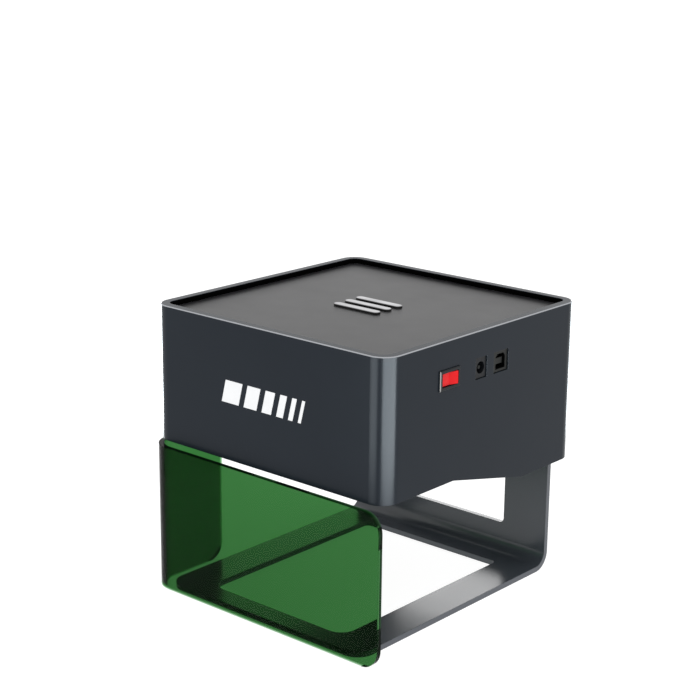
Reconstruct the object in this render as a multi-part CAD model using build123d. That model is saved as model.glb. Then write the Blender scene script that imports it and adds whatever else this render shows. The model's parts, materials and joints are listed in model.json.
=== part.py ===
"""Desktop laser cutter: a raised housing on a bent metal stand, with a loose green shield.

Millimetres, +Z up. Lengths are worked out about the middle of the housing and the
underside of the stand. Every node is then moved so that the origin lies in the middle
of the whole object's footprint.
"""
from build123d import *
import os
from math import cos, radians, sin

# ---- housing: an extruded rounded square, open at both ends ----
HOUSING_WIDTH = 160.0
HOUSING_DEPTH = 161.0
HOUSING_HEIGHT = 74.2        # of the front wall
WORK_HEIGHT = 82.0           # from the table to the lower edge of the front wall
REAR_DROP = 13.5             # how much lower the rear wall reaches
STEP_FRONT = 54.0            # from the front face to where the side walls start to drop
STEP_LENGTH = 59.5           # how long that slope is, along Y
CORNER_RADIUS = 10.0
WALL = 3.0
RIM_WALL = 4.8               # how thick the wall is round the recessed top panel
RIM_CHAMFER = 0.5
BOSS_RADIUS = 4.0            # screw bosses in the four inner corners
BOSS_HOLE = 1.3

# ---- top panel ----
TOP_RECESS = 2.8
PANEL_THICKNESS = 3.0
PANEL_GAP = 0.25
PANEL_FILLET = 0.5
RIB_HEIGHT = 1.2
RIB_WIDTH = 5.0
RIB_LENGTHS = (31.0, 31.0, 31.0)
RIB_PITCH = 9.0

# ---- printed mark on the front ----
MARK_HEIGHT = 12.0
MARK_THICKNESS = 0.2
MARK_RISE = 37.0             # middle of the mark above the front wall's lower edge
MARK_BARS = (12.0, 9.0, 6.5, 4.5, 3.0, 2.0)
MARK_GAP = 3.6
MARK_SLANT = 3.0

# ---- bent sheet stand ----
SHEET = 3.0
STAND_GAP = 0.5              # between the stand and the housing's corner bosses
STAND_FRONT = 2.5            # how far the base reaches past the front face
STAND_RISE = 36.0            # how far the rear plate reaches above the front wall's lower edge
STAND_BEND = 10.0            # outer radius of the bend
BASE_CORNER = 10.0
BASE_SIDE_RAIL = 21.3
BASE_FRONT_RAIL = 11.8
BASE_REAR_RAIL = 19.0        # from the base window to the outside of the bend
BASE_WINDOW_FRONT_CORNER = 9.0
BASE_WINDOW_REAR_CORNER = 3.0
REAR_SIDE_RAIL = 28.4
REAR_WINDOW_LOW = 19.7
REAR_WINDOW_TOP_GAP = 6.5    # from the rear window to the rear wall's lower edge
REAR_WINDOW_CORNER = 3.0
STAND_BOLT_EDGE = 18.5       # bolt centres in from the stand's sides
STAND_BOLT_RISE = (10.0, 26.0)
STAND_BOLT = 4.0
BOLT_CLEARANCE = 0.25
BOLT_HEAD = 7.6
BOLT_HEAD_HEIGHT = 2.2
BOLT_SOCKET = 2.5            # across the flats of the hex socket in the head
BOLT_SOCKET_DEPTH = 1.4
NUT_ACROSS = 7.0
NUT_HEIGHT = 3.2

# ---- acrylic shield ----
SHIELD_SHEET = 3.0
SHIELD_GAP = 1.2             # between the shield and the base's front edge
SHIELD_TOP_GAP = 1.2         # between the shield and the front wall's lower edge
SHIELD_LEFT_INSET = 0.8      # how far the wing's outer face is in from the left wall's
SHIELD_RIGHT_REACH = 2.5     # how far the front panel reaches past the right wall
SHIELD_WING = 53.0
SHIELD_BEND = 14.5           # outer radius of the vertical bend
SHIELD_CORNER = 10.0

# ---- bottom tray ----
TRAY_INSET = 2.0             # above the front wall's lower edge
TRAY_THICKNESS = 2.5
TRAY_GAP = 0.3
TRAY_WINDOW_MARGIN = 12.0    # round the laser's travel
TRAY_WINDOW_CORNER = 6.0
TRAY_SCREW_HEAD = 5.2
TRAY_SCREW_HEAD_HEIGHT = 1.4
TRAY_SCREW_LENGTH = 10.0

# ---- motion: rods, screws, blocks ----
WORK_Y = -1.5                # middle of the work area
ROD_RADIUS = 2.5
RUNNING_GAP = 0.05
BUSHING_RADIUS = 3.5
BUSHING_LENGTH = 12.0
Y_ROD_INSET = 13.0           # in from the inner side walls
Y_ROD_RISE = 9.5             # above the tray
X_ROD_RISE = 10.0            # above the Y rods
X_ROD_Y = 18.0
SCREW_RADIUS = 1.5
SCREW_RISE = 24.0            # above the Y rods
X_SCREW_Y = -21.0            # from the middle of the work area
NUT_RADIUS = 3.5
NUT_BLOCK = 10.0
MOTOR_RADIUS = 7.5
MOTOR_LENGTH = 12.0
BLOCK_WIDTH = 13.0
BLOCK_HALF_DEPTH = 26.0
BLOCK_BELOW_ROD = 5.0
BLOCK_ABOVE_ROD = 5.0
POST_ABOVE_SCREW = 5.0
POST_THICKNESS = 3.0
END_GAP = 1.0                # left between carriage and block at the end of travel
HOLDER_THICKNESS = 6.0
HOLDER_WIDTH = 9.0
LIMIT_SWITCH = (5.0, 6.0, 12.0)

# ---- carriage and laser ----
CARRIAGE_HALF_WIDTH = 16.5
CARRIAGE_HEIGHT = 10.0
LASER_SIZE = 24.0
LASER_BELOW_CARRIAGE = 7.0
LASER_ABOVE_CARRIAGE = 7.0
FIN_COUNT = 6
FIN_SLOT = 1.4
FIN_DEPTH = 2.4
BARREL_RADIUS = 5.0
BARREL_LENGTH = 4.0
LENS_BORE_DEPTH = 3.0
RING_RADIUS = 7.5
RING_LIP = 1.0               # how far the ring hangs below the barrel
RING_HEIGHT = 4.0
RING_NOTCHES = 20
RING_NOTCH = 0.55
LENS_RADIUS = 3.4
LENS_THICKNESS = 1.6
FAN_SIZE = 25.0
FAN_CORNER = 2.0
FAN_HEIGHT = 7.0
FAN_BORE = 11.7
FAN_HUB = 6.0
FAN_FLOOR = 1.0
FAN_STRUT = 1.6
FAN_BLADES = 7
FAN_BLADE_ANGLE = 35.0
FAN_BLADE_THICKNESS = 0.7
FAN_BLADE_CHORD = 5.4
FAN_GAP = 0.35
FAN_PIN = 1.0

# ---- board and sockets on the right-hand wall ----
STANDOFF = 19.2
STANDOFF_RADIUS = 2.6
BOARD_THICKNESS = 1.6
BOARD_LENGTH = 56.0
BOARD_DEPTH = 62.0
BOARD_MIDDLE_Y = 9.0
BOARD_EDGE_GAP = 1.0
BOARD_HOLE_INSET = 4.0
BOARD_HOLE = 1.6
BOARD_SCREW = 1.2
BOARD_SCREW_HEAD_HEIGHT = 1.4
BOARD_SCREW_REACH = 6.0      # into the standoff
STANDOFF_THREAD = 8.0
CHIP_SIDE = 10.0
CHIP_HEIGHT = 1.4
CHIP_PLACE = (12.0, 2.0)     # left edge from the board's left edge, front edge along Y
DRIVER_SIDE = 5.0
DRIVER_HEIGHT = 1.0
DRIVER_LEFT = 10.0
DRIVER_Y = (-14.0, 22.0)
CAPACITOR_RADIUS = 3.15
CAPACITOR_HEIGHT = 8.0
CAPACITOR_LEFT = 30.0
CAPACITOR_Y = (-14.0, 30.0)
SOCKET_RECESS = 0.6
CUTOUT_GAP = 0.2
JACK_Y = -6.0
JACK_WIDTH = 9.0
JACK_HEIGHT = 10.8
JACK_LENGTH = 14.0
JACK_HOLE = 3.15
JACK_HOLE_DEPTH = 10.0
JACK_PIN = 1.0
USB_Y = 10.7
USB_WIDTH = 12.0
USB_HEIGHT = 10.8
USB_LENGTH = 16.0
USB_SKIN = 1.4
USB_SIDE_SKIN = 2.0
USB_MOUTH_CHAMFER = 1.6
USB_TONGUE_WIDTH = 5.6
USB_TONGUE_HEIGHT = 3.2
USB_DEPTH = 10.0

# ---- power switch in the right-hand wall ----
SWITCH_Y = -32.2
SWITCH_WIDTH = 16.0
SWITCH_HEIGHT = 10.4
SWITCH_RIM = 1.6
SWITCH_RIM_PROUD = 1.0
SWITCH_RIM_CHAMFER = 0.4
SWITCH_BODY_INSET = 1.0
SWITCH_DEPTH = 12.0
SWITCH_POCKET = 6.0
ROCKER_PIVOT = 2.0           # how deep the pivot lies behind the wall's face
ROCKER_FACE = 1.9            # from the pivot to the middle of the rocker's face
ROCKER_GAP = 0.35
ROCKER_END_GAP = 0.6
ROCKER_TILT = 8.0
ROCKER_PIN = 1.0

# ---- places worked out from the sizes above ----
HALF_W = HOUSING_WIDTH / 2
HALF_D = HOUSING_DEPTH / 2
INNER_X = HALF_W - WALL
INNER_Y = HALF_D - WALL
INNER_RADIUS = CORNER_RADIUS - WALL
RIM_X = HALF_W - RIM_WALL
RIM_Y = HALF_D - RIM_WALL
RIM_RADIUS = CORNER_RADIUS - RIM_WALL
HOUSING_TOP = WORK_HEIGHT + HOUSING_HEIGHT
REAR_EDGE = WORK_HEIGHT - REAR_DROP
BOSS_X = INNER_X - BOSS_RADIUS
BOSS_Y = INNER_Y - BOSS_RADIUS
PANEL_TOP = HOUSING_TOP - TOP_RECESS
PANEL_LOW = PANEL_TOP - PANEL_THICKNESS
TRAY_LOW = WORK_HEIGHT + TRAY_INSET
TRAY_TOP = TRAY_LOW + TRAY_THICKNESS
STAND_HALF = BOSS_X - BOSS_RADIUS - STAND_GAP
STAND_REAR = INNER_Y
STAND_FRONT_Y = -HALF_D - STAND_FRONT
STAND_TOP = WORK_HEIGHT + STAND_RISE
SHIELD_INNER_Y = STAND_FRONT_Y - SHIELD_GAP
SHIELD_OUTER_Y = SHIELD_INNER_Y - SHIELD_SHEET
SHIELD_LEFT = -HALF_W + SHIELD_LEFT_INSET
SHIELD_RIGHT = HALF_W + SHIELD_RIGHT_REACH
SHIELD_HEIGHT = WORK_HEIGHT - SHIELD_TOP_GAP
Y_ROD_X = INNER_X - Y_ROD_INSET
Y_ROD_Z = TRAY_TOP + Y_ROD_RISE
X_ROD_Z = Y_ROD_Z + X_ROD_RISE
SCREW_Z = Y_ROD_Z + SCREW_RISE
BLOCK_INNER = Y_ROD_X - BLOCK_WIDTH / 2
BLOCK_OUTER = Y_ROD_X + BLOCK_WIDTH / 2
BLOCK_LOW = Y_ROD_Z - BLOCK_BELOW_ROD
BLOCK_HIGH = X_ROD_Z + BLOCK_ABOVE_ROD
POST_HIGH = SCREW_Z + POST_ABOVE_SCREW
TRAVEL = BLOCK_INNER - CARRIAGE_HALF_WIDTH - END_GAP
TRAY_WINDOW = 2 * (TRAVEL + TRAY_WINDOW_MARGIN)
HOLDER_FRONT = -INNER_Y + TRAY_GAP
HOLDER_REAR = STAND_REAR - SHEET - TRAY_GAP
CARRIAGE_LOW = BLOCK_HIGH - CARRIAGE_HEIGHT
LASER_LOW = CARRIAGE_LOW - LASER_BELOW_CARRIAGE
LASER_HIGH = BLOCK_HIGH + LASER_ABOVE_CARRIAGE
BARREL_LOW = LASER_LOW - BARREL_LENGTH
RING_LOW = BARREL_LOW - RING_LIP
BOARD_TOP = PANEL_LOW - STANDOFF
BOARD_LOW = BOARD_TOP - BOARD_THICKNESS
BOARD_RIGHT = INNER_X - BOARD_EDGE_GAP
BOARD_LEFT = BOARD_RIGHT - BOARD_LENGTH
BOARD_FRONT = BOARD_MIDDLE_Y - BOARD_DEPTH / 2
BOARD_REAR = BOARD_MIDDLE_Y + BOARD_DEPTH / 2
SOCKET_FACE = HALF_W - SOCKET_RECESS
SWITCH_Z = BOARD_TOP + JACK_HEIGHT / 2
FOOTPRINT_X = (SHIELD_RIGHT - HALF_W) / 2
FOOTPRINT_Y = (SHIELD_OUTER_Y + HALF_D + BOLT_HEAD_HEIGHT) / 2
TO_ORIGIN = Pos(-FOOTPRINT_X, -FOOTPRINT_Y, 0)


# ---- small helpers ----
def box(x0, x1, y0, y1, z0, z1):
    """A block between two corners."""
    return Pos((x0 + x1) / 2, (y0 + y1) / 2, (z0 + z1) / 2) * Box(x1 - x0, y1 - y0, z1 - z0)


def post(x, y, z0, z1, radius):
    """A round bar along Z."""
    return Pos(x, y, (z0 + z1) / 2) * Cylinder(radius, z1 - z0)


def bar_x(x0, x1, y, z, radius):
    """A round bar along X."""
    return Pos((x0 + x1) / 2, y, z) * Rot(0, 90, 0) * Cylinder(radius, x1 - x0)


def bar_y(x, y0, y1, z, radius):
    """A round bar along Y."""
    return Pos(x, (y0 + y1) / 2, z) * Rot(90, 0, 0) * Cylinder(radius, y1 - y0)


def rounded_block(width, depth, z0, z1, radius):
    """A block with rounded upright corners, centred on the housing's middle."""
    return Pos(0, 0, z0) * extrude(RectangleRounded(width, depth, radius), z1 - z0)


def side_profile(points, x0, x1):
    """A prism along X with the given outline of (y, z) points."""
    face = make_face(Plane.YZ * Polyline(*points, close=True))
    return Pos(x0, 0, 0) * extrude(face, x1 - x0, dir=(1, 0, 0))


def group(pieces):
    """Several separate solids in one node."""
    return Compound([solid for piece in pieces for solid in piece.solids()])


def corners(x, y):
    """The four corners of a rectangle about the middle."""
    return [(sx * x, sy * y) for sx in (-1, 1) for sy in (-1, 1)]


# ---- housing ----
def housing_shell():
    outer = rounded_block(HOUSING_WIDTH, HOUSING_DEPTH, REAR_EDGE, HOUSING_TOP, CORNER_RADIUS)
    outer = chamfer(outer.faces().sort_by(Axis.Z)[-1].edges(), RIM_CHAMFER)
    bay = rounded_block(2 * INNER_X, 2 * INNER_Y, REAR_EDGE - 1, PANEL_LOW, INNER_RADIUS)
    mouth = rounded_block(2 * RIM_X, 2 * RIM_Y, PANEL_LOW - 1, HOUSING_TOP + 1, RIM_RADIUS)
    shell = outer - bay - mouth
    for x, y in corners(BOSS_X, BOSS_Y):
        shell += post(x, y, TRAY_TOP, PANEL_LOW, BOSS_RADIUS)
        shell -= post(x, y, TRAY_TOP - 1, TRAY_TOP + TRAY_SCREW_LENGTH + 2, BOSS_HOLE)
    front = -HALF_D
    profile = [
        (front - 1, REAR_EDGE - 1),
        (front - 1, WORK_HEIGHT),
        (front + STEP_FRONT, WORK_HEIGHT),
        (front + STEP_FRONT + STEP_LENGTH, REAR_EDGE),
        (front + STEP_FRONT + STEP_LENGTH, REAR_EDGE - 1),
    ]
    shell -= side_profile(profile, -HALF_W - 1, HALF_W + 1)
    for y, width, height, middle in side_cutouts():
        half_w = width / 2 + CUTOUT_GAP
        half_h = height / 2 + CUTOUT_GAP
        shell -= box(INNER_X - 1, HALF_W + 1, y - half_w, y + half_w, middle - half_h, middle + half_h)
    for x, z in stand_bolts():
        shell -= bar_y(x, INNER_Y - 1, HALF_D + 1, z, STAND_BOLT / 2 + BOLT_CLEARANCE)
    return shell


def side_cutouts():
    """Centre, width, height and middle of each hole in the right-hand wall."""
    inset = 2 * SWITCH_BODY_INSET
    return (
        (SWITCH_Y, SWITCH_WIDTH - inset, SWITCH_HEIGHT - inset, SWITCH_Z),
        (JACK_Y, JACK_WIDTH, JACK_HEIGHT, BOARD_TOP + JACK_HEIGHT / 2),
        (USB_Y, USB_WIDTH, USB_HEIGHT, BOARD_TOP + USB_HEIGHT / 2),
    )


def stand_bolts():
    x = STAND_HALF - STAND_BOLT_EDGE
    return [(side * x, WORK_HEIGHT + rise) for side in (-1, 1) for rise in STAND_BOLT_RISE]


def top_panel():
    width = 2 * (RIM_X - PANEL_GAP)
    depth = 2 * (RIM_Y - PANEL_GAP)
    panel = rounded_block(width, depth, PANEL_LOW, PANEL_TOP, RIM_RADIUS - PANEL_GAP)
    return fillet(panel.faces().sort_by(Axis.Z)[-1].edges(), PANEL_FILLET)


def top_ribs():
    ribs = []
    for index, length in enumerate(RIB_LENGTHS):
        y = (index - (len(RIB_LENGTHS) - 1) / 2) * RIB_PITCH
        rib = Pos(0, y, PANEL_TOP) * extrude(SlotOverall(length, RIB_WIDTH), RIB_HEIGHT)
        ribs.append(fillet(rib.faces().sort_by(Axis.Z)[-1].edges(), RIB_HEIGHT * 0.6))
    return group(ribs)


def front_mark():
    """A plain row of slanted bars that get thinner to the right."""
    total = sum(MARK_BARS) + MARK_GAP * (len(MARK_BARS) - 1) + MARK_SLANT
    x = -total / 2
    low = WORK_HEIGHT + MARK_RISE - MARK_HEIGHT / 2
    bars = []
    for width in MARK_BARS:
        outline = [
            (x, low),
            (x + width, low),
            (x + width + MARK_SLANT, low + MARK_HEIGHT),
            (x + MARK_SLANT, low + MARK_HEIGHT),
        ]
        face = make_face(Plane.XZ * Polyline(*outline, close=True))
        bars.append(Pos(0, -HALF_D, 0) * extrude(face, MARK_THICKNESS, dir=(0, -1, 0)))
        x += width + MARK_GAP
    return group(bars)


# ---- stand ----
def bend_block(front, rear, low, high, half, radius):
    """A block whose low rear edge is rounded: the outside or the inside of the bend."""
    block = box(-half, half, front, rear, low, high)
    along_x = block.edges().filter_by(Axis.X)
    return fillet(along_x.group_by(Axis.Y)[-1].sort_by(Axis.Z)[0], radius)


def stand():
    half = STAND_HALF
    rear = STAND_REAR
    outside = bend_block(STAND_FRONT_Y, rear, 0, STAND_TOP, half, STAND_BEND)
    inside = bend_block(STAND_FRONT_Y - 1, rear - SHEET, SHEET, STAND_TOP + 1, half + 1, STAND_BEND - SHEET)
    sheet = outside - inside
    sheet = fillet(sheet.edges().filter_by(Axis.Z).group_by(Axis.Y)[0], BASE_CORNER)
    sheet = fillet(sheet.edges().filter_by(Axis.Y).group_by(Axis.Z)[-1], BASE_CORNER)
    sheet -= base_window()
    sheet -= rear_window()
    for x, z in stand_bolts():
        sheet -= bar_y(x, rear - SHEET - 1, rear + 1, z, STAND_BOLT / 2 + BOLT_CLEARANCE)
    return sheet


def base_window():
    half = STAND_HALF - BASE_SIDE_RAIL
    front = STAND_FRONT_Y + BASE_FRONT_RAIL
    cut = box(-half, half, front, STAND_REAR - BASE_REAR_RAIL, -1, SHEET + 1)
    upright = cut.edges().filter_by(Axis.Z).sort_by(Axis.Y)
    cut = fillet(upright[:2], BASE_WINDOW_FRONT_CORNER)
    upright = cut.edges().filter_by(Axis.Z).sort_by(Axis.Y)
    return fillet(upright[-2:], BASE_WINDOW_REAR_CORNER)


def rear_window():
    half = STAND_HALF - REAR_SIDE_RAIL
    high = REAR_EDGE - REAR_WINDOW_TOP_GAP
    cut = box(-half, half, STAND_REAR - SHEET - 1, STAND_REAR + 1, REAR_WINDOW_LOW, high)
    return fillet(cut.edges().filter_by(Axis.Y), REAR_WINDOW_CORNER)


def stand_screws():
    screws = []
    for x, z in stand_bolts():
        shank = bar_y(x, STAND_REAR - SHEET - NUT_HEIGHT - 1, HALF_D, z, STAND_BOLT / 2)
        head = bar_y(x, HALF_D, HALF_D + BOLT_HEAD_HEIGHT, z, BOLT_HEAD / 2)
        hexagon = Plane.XZ * RegularPolygon(BOLT_SOCKET / 2, 6, major_radius=False)
        face = HALF_D + BOLT_HEAD_HEIGHT
        socket = Pos(x, face, z) * extrude(hexagon, BOLT_SOCKET_DEPTH, dir=(0, -1, 0))
        screws.append(shank + head - socket)
    return group(screws)


def stand_nuts():
    nuts = []
    for x, z in stand_bolts():
        hexagon = Plane.XZ * RegularPolygon(NUT_ACROSS / 2, 6, major_radius=False)
        nut = Pos(x, STAND_REAR - SHEET, z) * extrude(hexagon, NUT_HEIGHT, dir=(0, -1, 0))
        nuts.append(nut - bar_y(x, 0, HALF_D, z, STAND_BOLT / 2 + RUNNING_GAP))
    return group(nuts)


# ---- shield ----
def bend_corner(block, radius):
    """Rounds the upright edge at a block's front left."""
    upright = block.edges().filter_by(Axis.Z)
    return fillet(upright.group_by(Axis.X)[0].sort_by(Axis.Y)[0], radius)


def shield():
    left, front = SHIELD_LEFT, SHIELD_OUTER_Y
    rear = front + SHIELD_WING
    outside = box(left, SHIELD_RIGHT, front, rear, 0, SHIELD_HEIGHT)
    inside = box(left + SHIELD_SHEET, SHIELD_RIGHT + 1, front + SHIELD_SHEET, rear + 1, -1, SHIELD_HEIGHT + 1)
    sheet = bend_corner(outside, SHIELD_BEND) - bend_corner(inside, SHIELD_BEND - SHIELD_SHEET)
    sheet = fillet(sheet.edges().filter_by(Axis.Y).group_by(Axis.X)[-1], SHIELD_CORNER)
    return fillet(sheet.edges().filter_by(Axis.X).group_by(Axis.Y)[-1], SHIELD_CORNER)


# ---- bottom tray ----
def bottom_tray():
    width, depth = 2 * (INNER_X - TRAY_GAP), 2 * (INNER_Y - TRAY_GAP)
    tray = rounded_block(width, depth, TRAY_LOW, TRAY_TOP, INNER_RADIUS - TRAY_GAP)
    window = rounded_block(TRAY_WINDOW, TRAY_WINDOW, TRAY_LOW - 1, TRAY_TOP + 1, TRAY_WINDOW_CORNER)
    tray -= Pos(0, WORK_Y, 0) * window
    notch_x = STAND_HALF + TRAY_GAP
    notch_y = STAND_REAR - SHEET - TRAY_GAP
    tray -= box(-notch_x, notch_x, notch_y, HALF_D, TRAY_LOW - 1, TRAY_TOP + 1)
    for x, y in corners(BOSS_X, BOSS_Y):
        tray -= post(x, y, TRAY_LOW - 1, TRAY_TOP + 1, BOSS_HOLE + BOLT_CLEARANCE)
    return tray


def tray_screws():
    screws = []
    for x, y in corners(BOSS_X, BOSS_Y):
        shank = post(x, y, TRAY_LOW, TRAY_TOP + TRAY_SCREW_LENGTH, BOSS_HOLE - RUNNING_GAP)
        head = post(x, y, TRAY_LOW - TRAY_SCREW_HEAD_HEIGHT, TRAY_LOW, TRAY_SCREW_HEAD / 2)
        screws.append(shank + head)
    return group(screws)


# ---- Y axis, fixed to the tray ----
def rod_holder(side, y, high):
    """One upright that holds the end of a Y rod."""
    x = side * Y_ROD_X
    holder = box(x - HOLDER_WIDTH / 2, x + HOLDER_WIDTH / 2, y, y + HOLDER_THICKNESS, TRAY_TOP, high)
    return holder - bar_y(x, y - 1, y + HOLDER_THICKNESS + 1, Y_ROD_Z, ROD_RADIUS)


def rod_holders(y):
    """The pair of uprights at one end: the left one is tall and takes the lead screw."""
    left = rod_holder(-1, y, POST_HIGH)
    left -= bar_y(-Y_ROD_X, y - 1, y + HOLDER_THICKNESS + 1, SCREW_Z, SCREW_RADIUS + RUNNING_GAP)
    return group([left, rod_holder(1, y, Y_ROD_Z + BLOCK_ABOVE_ROD)])


def front_rod_holders():
    return rod_holders(HOLDER_FRONT)


def rear_rod_holders():
    return rod_holders(HOLDER_REAR - HOLDER_THICKNESS)


def y_rods():
    return group([bar_y(side * Y_ROD_X, HOLDER_FRONT, HOLDER_REAR, Y_ROD_Z, ROD_RADIUS) for side in (-1, 1)])


def stepper_can(length):
    """A small round stepper, along Z, its flat face at the origin."""
    can = Pos(0, 0, length / 2) * Cylinder(MOTOR_RADIUS, length)
    can = fillet(can.edges().filter_by(GeomType.CIRCLE), 0.6)
    band = Pos(0, 0, length / 2) * (Cylinder(MOTOR_RADIUS + 1, 0.8) - Cylinder(MOTOR_RADIUS - 0.3, 0.8))
    return can - band - Pos(0, 0, length / 2) * Cylinder(SCREW_RADIUS + RUNNING_GAP, length + 2)


def y_motor():
    rear = HOLDER_REAR - HOLDER_THICKNESS
    return Pos(-Y_ROD_X, rear, SCREW_Z) * Rot(90, 0, 0) * stepper_can(MOTOR_LENGTH)


def y_lead_screw():
    return bar_y(-Y_ROD_X, HOLDER_FRONT + 1, HOLDER_REAR - HOLDER_THICKNESS / 2, SCREW_Z, SCREW_RADIUS)


def y_limit_switch():
    """A small switch beside the front left holder, its lever towards the gantry."""
    width, depth, height = LIMIT_SWITCH
    x = -Y_ROD_X + HOLDER_WIDTH / 2
    body = box(x, x + width, HOLDER_FRONT, HOLDER_FRONT + depth, TRAY_TOP, TRAY_TOP + height)
    lever_y = HOLDER_FRONT + depth
    return body + box(x + 1, x + width - 1, lever_y, lever_y + 1.5, TRAY_TOP + 8, TRAY_TOP + 10)


# ---- Y gantry ----
def gantry_block(side):
    """One end block of the gantry. It runs on a Y rod and holds both X rods."""
    inner, outer = sorted((side * BLOCK_INNER, side * BLOCK_OUTER))
    near, far = WORK_Y - BLOCK_HALF_DEPTH, WORK_Y + BLOCK_HALF_DEPTH
    block = box(inner, outer, near, far, BLOCK_LOW, BLOCK_HIGH)
    block -= bar_y(side * Y_ROD_X, near - 1, far + 1, Y_ROD_Z, BUSHING_RADIUS)
    for y in (-X_ROD_Y, X_ROD_Y):
        block -= bar_x(inner - 1, outer + 1, WORK_Y + y, X_ROD_Z, ROD_RADIUS)
    x0, x1 = sorted((side * BLOCK_INNER, side * (BLOCK_INNER + POST_THICKNESS)))
    y = WORK_Y + X_SCREW_Y
    upright = box(x0, x1, y - 4, y + 4, BLOCK_HIGH, POST_HIGH)
    return block + upright - bar_x(x0 - 1, x1 + 1, y, SCREW_Z, SCREW_RADIUS + RUNNING_GAP)


def gantry_block_left():
    block = gantry_block(-1)
    half = NUT_BLOCK / 2
    carrier = box(-Y_ROD_X - half, -Y_ROD_X + half, WORK_Y - half, WORK_Y + half, BLOCK_HIGH, POST_HIGH)
    return block + carrier - bar_y(-Y_ROD_X, WORK_Y - half - 1, WORK_Y + half + 1, SCREW_Z, NUT_RADIUS)


def gantry_block_right():
    return gantry_block(1)


def gantry_bushings():
    bushings = []
    for side in (-1, 1):
        x = side * Y_ROD_X
        for y in (WORK_Y - BLOCK_HALF_DEPTH, WORK_Y + BLOCK_HALF_DEPTH - BUSHING_LENGTH):
            end = y + BUSHING_LENGTH
            sleeve = bar_y(x, y, end, Y_ROD_Z, BUSHING_RADIUS)
            bushings.append(sleeve - bar_y(x, y - 1, end + 1, Y_ROD_Z, ROD_RADIUS + RUNNING_GAP))
    return group(bushings)


def y_nut():
    half = NUT_BLOCK / 2
    nut = bar_y(-Y_ROD_X, WORK_Y - half, WORK_Y + half, SCREW_Z, NUT_RADIUS)
    return nut - bar_y(-Y_ROD_X, WORK_Y - half - 1, WORK_Y + half + 1, SCREW_Z, SCREW_RADIUS + RUNNING_GAP)


def x_rods():
    rods = [WORK_Y - X_ROD_Y, WORK_Y + X_ROD_Y]
    return group([bar_x(-BLOCK_OUTER, BLOCK_OUTER, y, X_ROD_Z, ROD_RADIUS) for y in rods])


def x_motor():
    return Pos(BLOCK_INNER, WORK_Y + X_SCREW_Y, SCREW_Z) * Rot(0, -90, 0) * stepper_can(MOTOR_LENGTH)


def x_lead_screw():
    left = -BLOCK_INNER - POST_THICKNESS
    return bar_x(left + 0.5, BLOCK_INNER + POST_THICKNESS - 0.5, WORK_Y + X_SCREW_Y, SCREW_Z, SCREW_RADIUS)


# ---- X carriage ----
def x_carriage_block():
    half = CARRIAGE_HALF_WIDTH
    block = box(-half, half, WORK_Y - BLOCK_HALF_DEPTH, WORK_Y + BLOCK_HALF_DEPTH, CARRIAGE_LOW, BLOCK_HIGH)
    for y in (-X_ROD_Y, X_ROD_Y):
        block -= bar_x(-half - 1, half + 1, WORK_Y + y, X_ROD_Z, BUSHING_RADIUS)
    pocket = LASER_SIZE / 2
    block -= box(-pocket, pocket, WORK_Y - pocket, WORK_Y + pocket, CARRIAGE_LOW - 1, BLOCK_HIGH + 1)
    y = WORK_Y + X_SCREW_Y
    carrier = box(-NUT_BLOCK / 2, NUT_BLOCK / 2, y - 4.5, y + 4.5, BLOCK_HIGH, POST_HIGH)
    return block + carrier - bar_x(-NUT_BLOCK, NUT_BLOCK, y, SCREW_Z, NUT_RADIUS)


def carriage_bushings():
    bushings = []
    for y in (-X_ROD_Y, X_ROD_Y):
        for x in (-CARRIAGE_HALF_WIDTH, CARRIAGE_HALF_WIDTH - BUSHING_LENGTH):
            end = x + BUSHING_LENGTH
            sleeve = bar_x(x, end, WORK_Y + y, X_ROD_Z, BUSHING_RADIUS)
            bushings.append(sleeve - bar_x(x - 1, end + 1, WORK_Y + y, X_ROD_Z, ROD_RADIUS + RUNNING_GAP))
    return group(bushings)


def x_nut():
    y = WORK_Y + X_SCREW_Y
    nut = bar_x(-NUT_BLOCK / 2, NUT_BLOCK / 2, y, SCREW_Z, NUT_RADIUS)
    return nut - bar_x(-NUT_BLOCK, NUT_BLOCK, y, SCREW_Z, SCREW_RADIUS + RUNNING_GAP)


def laser_heatsink():
    half = LASER_SIZE / 2
    sink = box(-half, half, WORK_Y - half, WORK_Y + half, LASER_LOW, LASER_HIGH)
    pitch = LASER_SIZE / FIN_COUNT
    for index in range(FIN_COUNT - 1):
        y = WORK_Y - half + pitch * (index + 1)
        for side in (-1, 1):
            x0, x1 = sorted((side * (half - FIN_DEPTH), side * (half + 1)))
            sink -= box(x0, x1, y - FIN_SLOT / 2, y + FIN_SLOT / 2, LASER_LOW - 1, LASER_HIGH + 1)
    return sink


def laser_barrel():
    barrel = post(0, WORK_Y, BARREL_LOW, LASER_LOW, BARREL_RADIUS)
    return barrel - post(0, WORK_Y, BARREL_LOW - 1, BARREL_LOW + LENS_BORE_DEPTH, LENS_RADIUS)


def laser_lens():
    high = BARREL_LOW + LENS_BORE_DEPTH
    return post(0, WORK_Y, high - LENS_THICKNESS, high, LENS_RADIUS)


def focus_ring():
    """A knurled ring that turns on the barrel and carries its lip below it."""
    ring = post(0, WORK_Y, RING_LOW, RING_LOW + RING_HEIGHT, RING_RADIUS)
    bore_low = RING_LOW + RING_LIP - 0.3
    ring -= post(0, WORK_Y, bore_low, RING_LOW + RING_HEIGHT + 1, BARREL_RADIUS + RUNNING_GAP)
    ring -= post(0, WORK_Y, RING_LOW - 1, RING_LOW + RING_LIP, LENS_RADIUS)
    for index in range(RING_NOTCHES):
        angle = radians(360 * index / RING_NOTCHES)
        x, y = RING_RADIUS * cos(angle), WORK_Y + RING_RADIUS * sin(angle)
        ring -= post(x, y, RING_LOW - 1, RING_LOW + RING_HEIGHT + 1, RING_NOTCH)
    return ring


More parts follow.
